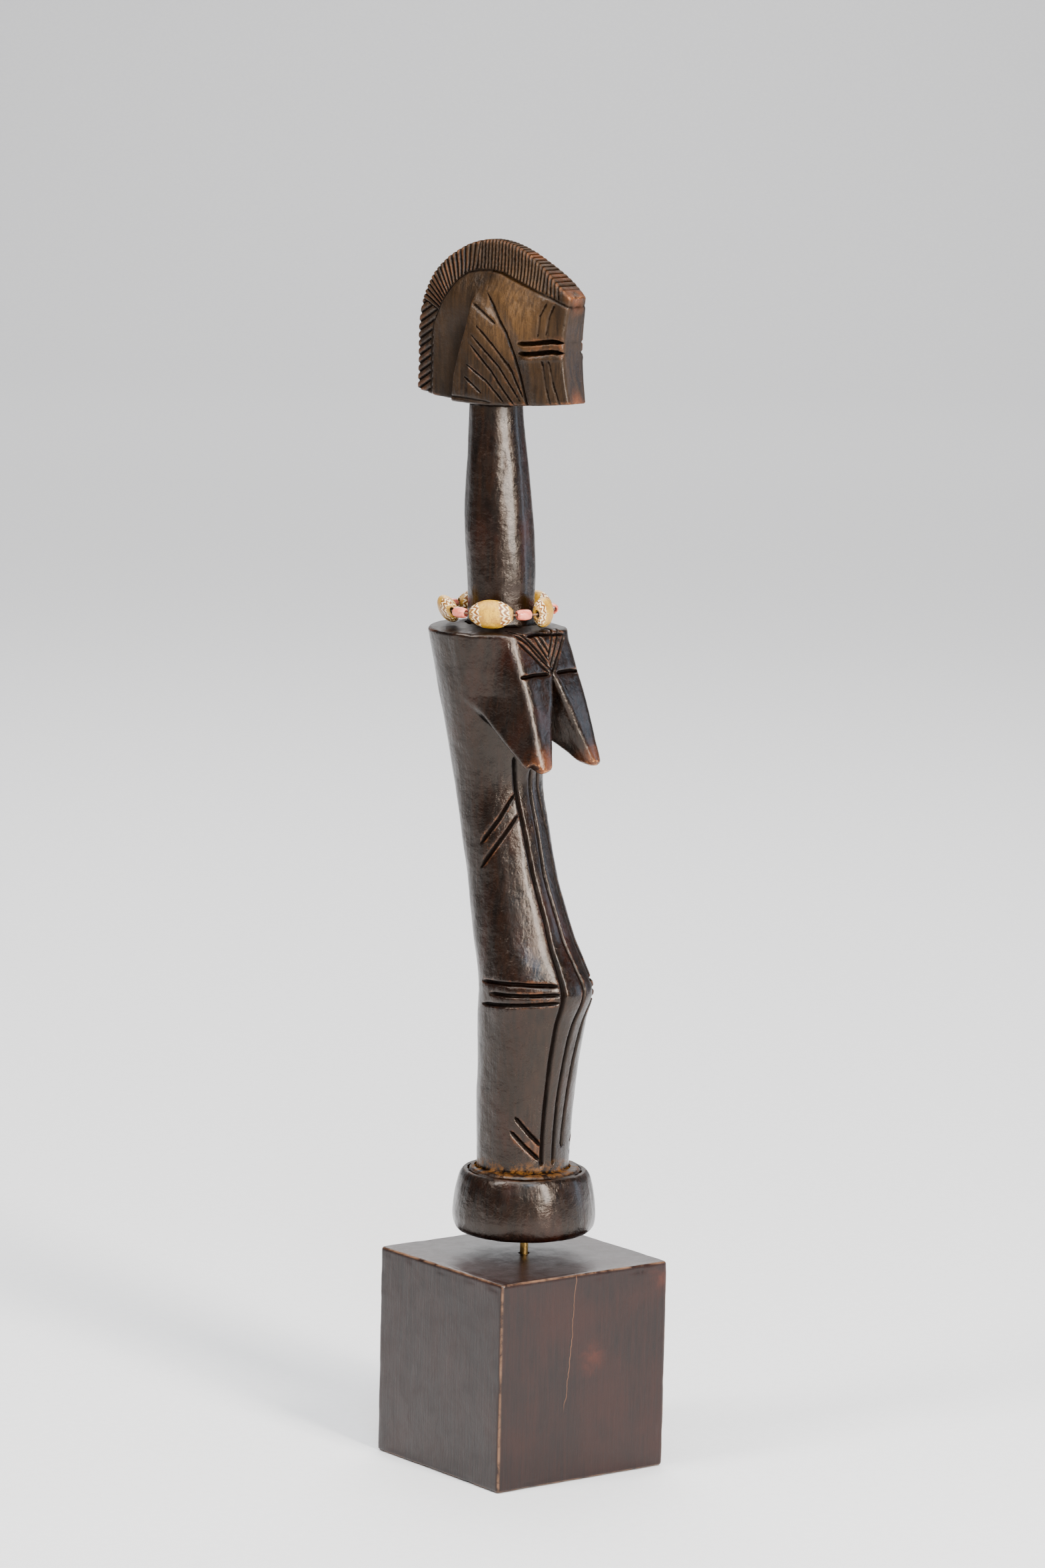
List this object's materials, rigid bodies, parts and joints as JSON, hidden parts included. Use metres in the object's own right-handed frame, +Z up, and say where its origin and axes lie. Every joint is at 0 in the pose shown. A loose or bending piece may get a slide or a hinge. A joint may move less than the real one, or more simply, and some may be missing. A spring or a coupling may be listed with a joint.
{
  "type": "carved fertility doll on a stand",
  "caption": "Slender carved wooden doll with a crested head and long neck, wearing a loose string of beads, standing on a pin in a square block.",
  "frame": {"origin": "centre of the plinth's flat underside, on the surface it stands on", "axes": "+Z up along the mounting pin, -Y the plinth face nearest to the way the doll looks, +X to the right when facing that side"},
  "size_m": [0.06, 0.0753, 0.3536],
  "materials": {
    "patinated_wood": "dark, hand-carved and polished by handling",
    "stained_wood": "stained dark brown, satin, worn at the edges",
    "pin_brass": "dull drawn rod",
    "yellow_glass": "opaque ochre glass with trailed patterns, weathered",
    "pink_glass": "opaque salmon glass, softly worn",
    "cotton_string": "twisted, darkened by handling"
  },
  "bodies": {
    "stand": {"plinth": "stained_wood"},
    "pin": {"mount_pin": "pin_brass"},
    "doll": {"carved_figure": "patinated_wood"},
    "necklace": {"necklace_string": "cotton_string"},
    "yellow_bead_1": {"yellow_bead_1": "yellow_glass"},
    "yellow_bead_2": {"yellow_bead_2": "yellow_glass"},
    "yellow_bead_3": {"yellow_bead_3": "yellow_glass"},
    "yellow_bead_4": {"yellow_bead_4": "yellow_glass"},
    "yellow_bead_5": {"yellow_bead_5": "yellow_glass"},
    "pink_bead_1": {"pink_bead_1": "pink_glass"},
    "pink_bead_2": {"pink_bead_2": "pink_glass"},
    "pink_bead_3": {"pink_bead_3": "pink_glass"},
    "pink_bead_4": {"pink_bead_4": "pink_glass"},
    "pink_bead_5": {"pink_bead_5": "pink_glass"}
  },
  "joints": [
    {"name": "doll_turn", "type": "hinge", "parent": "stand", "child": "pin", "pos_m": [0, 0, 0.061], "axis": [0, 0, 1], "continuous": true},
    {"name": "doll_lift", "type": "slide", "parent": "pin", "child": "doll", "axis": [0, 0, 1], "range_m": [0, 0.035]},
    {"name": "necklace_turn", "type": "hinge", "parent": "doll", "child": "necklace", "pos_m": [-0.00409, 0.01404, 0.248], "axis": [0, 0, 1], "continuous": true},
    {"name": "yellow_bead_1_turn", "type": "hinge", "parent": "necklace", "child": "yellow_bead_1", "pos_m": [-0.01429, 0.00359, 0.248], "axis": [0.7157, -0.6984, 0], "range_deg": [-25, 25]},
    {"name": "yellow_bead_2_turn", "type": "hinge", "parent": "necklace", "child": "yellow_bead_2", "pos_m": [0.00222, 0.00087, 0.248], "axis": [0.9021, 0.4316, 0], "range_deg": [-20, 20]},
    {"name": "yellow_bead_3_turn", "type": "hinge", "parent": "necklace", "child": "yellow_bead_3", "pos_m": [0.01046, 0.01543, 0.248], "axis": [-0.0947, 0.9955, 0], "range_deg": [-25, 15]},
    {"name": "yellow_bead_4_turn", "type": "hinge", "parent": "necklace", "child": "yellow_bead_4", "pos_m": [-0.00038, 0.02818, 0.248], "axis": [-0.9673, 0.2538, 0], "range_deg": [-20, 25]},
    {"name": "yellow_bead_5_turn", "type": "hinge", "parent": "necklace", "child": "yellow_bead_5", "pos_m": [-0.01742, 0.02003, 0.248], "axis": [-0.4094, -0.9124, 0], "range_deg": [-50, 5]},
    {"name": "pink_bead_1_spin", "type": "hinge", "parent": "necklace", "child": "pink_bead_1", "pos_m": [-0.00668, -0.00164, 0.248], "axis": [0.9867, -0.1627, 0], "continuous": true},
    {"name": "pink_bead_2_spin", "type": "hinge", "parent": "necklace", "child": "pink_bead_2", "pos_m": [0.00975, 0.00622, 0.248], "axis": [0.4924, 0.8704, 0], "continuous": true},
    {"name": "pink_bead_3_spin", "type": "hinge", "parent": "necklace", "child": "pink_bead_3", "pos_m": [0.00803, 0.02434, 0.248], "axis": [-0.6477, 0.7619, 0], "continuous": true},
    {"name": "pink_bead_4_spin", "type": "hinge", "parent": "necklace", "child": "pink_bead_4", "pos_m": [-0.00959, 0.02896, 0.248], "axis": [-0.9383, -0.3458, 0], "continuous": true},
    {"name": "pink_bead_5_spin", "type": "hinge", "parent": "necklace", "child": "pink_bead_5", "pos_m": [-0.01971, 0.01107, 0.248], "axis": [0.1868, -0.9824, 0], "continuous": true}
  ]
}
